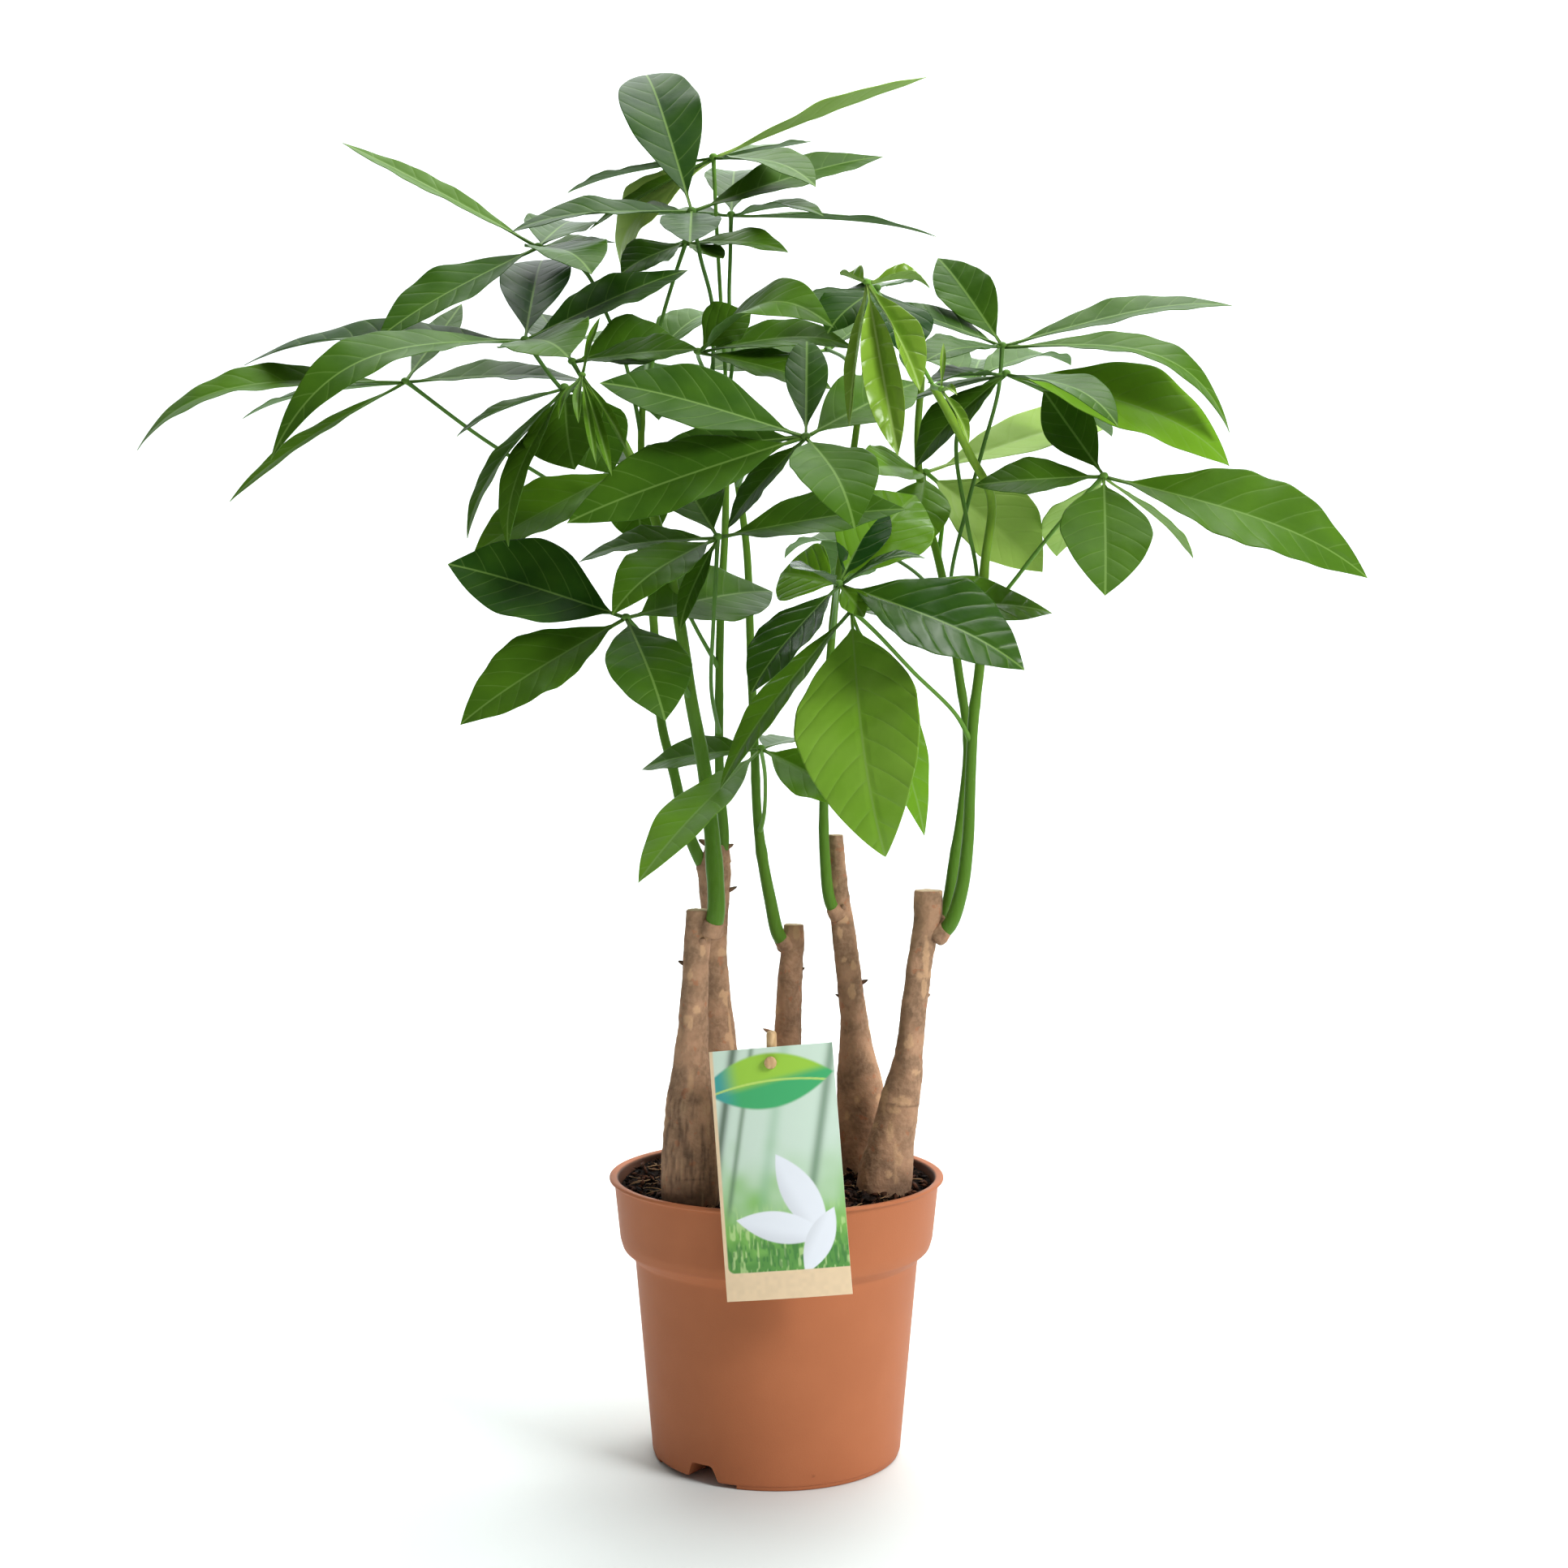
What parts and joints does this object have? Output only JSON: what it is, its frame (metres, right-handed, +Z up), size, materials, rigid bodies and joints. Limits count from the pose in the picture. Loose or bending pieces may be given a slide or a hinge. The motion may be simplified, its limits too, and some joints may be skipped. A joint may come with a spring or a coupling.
{
  "type": "potted money tree",
  "caption": "Potted money tree: five cut-back trunks in a round nursery pot, with slender green shoots, stalked hand-shaped leaves and a plain printed card on a stick.",
  "frame": {"origin": "middle of the flat pad under the pot, on the surface that the pot stands on", "axes": "+Z up through the plant; +X to the right and +Y away, for someone facing the printed card"},
  "size_m": [0.611, 0.3682, 0.7218],
  "materials": {
    "pot": "terracotta-coloured moulded plastic, satin, scuffed at the foot",
    "soil": "dark brown potting soil with tan fibres and bark chips",
    "bark": "grey-brown fibrous bark with paler patches",
    "green_stem": "smooth green shoot, slightly glossy",
    "leaf": "glossy deep green leaf with pale veins",
    "young_leaf": "glossy yellow-green young leaf",
    "card": "printed card with a kraft-coloured border",
    "pale_wood": "pale bare wood"
  },
  "bodies": {
    "root": {"pot": "pot", "soil": "soil", "trunk_1": "bark", "trunk_2": "bark", "trunk_3": "bark", "trunk_4": "bark", "trunk_5": "bark", "shoot_1": "green_stem", "shoot_2a": "green_stem", "shoot_2b": "green_stem", "shoot_3": "green_stem", "shoot_4": "green_stem", "shoot_5a": "green_stem", "shoot_5b": "green_stem", "leaf_01": "leaf", "leaf_02": "leaf", "leaf_03": "leaf", "leaf_04": "leaf", "leaf_05": "leaf", "leaf_06": "leaf", "leaf_07": "leaf", "leaf_08": "leaf", "leaf_09": "leaf", "leaf_10": "leaf", "leaf_11": "young_leaf", "leaf_12": "leaf", "leaf_13": "leaf", "leaf_14": "leaf", "leaf_15": "leaf", "leaf_16": "leaf", "leaf_17": "leaf", "leaf_18": "leaf", "leaf_19": "leaf", "leaf_20": "leaf", "leaf_21": "leaf", "leaf_22": "leaf", "leaf_23": "leaf", "leaf_24": "leaf", "leaf_25": "leaf", "leaf_26": "leaf", "leaf_27": "leaf", "leaf_28": "leaf", "young_leaf_1": "young_leaf", "young_leaf_2": "young_leaf", "label_card": "card", "label_stick": "pale_wood", "label_peg": "pale_wood"}
  },
  "joints": []
}
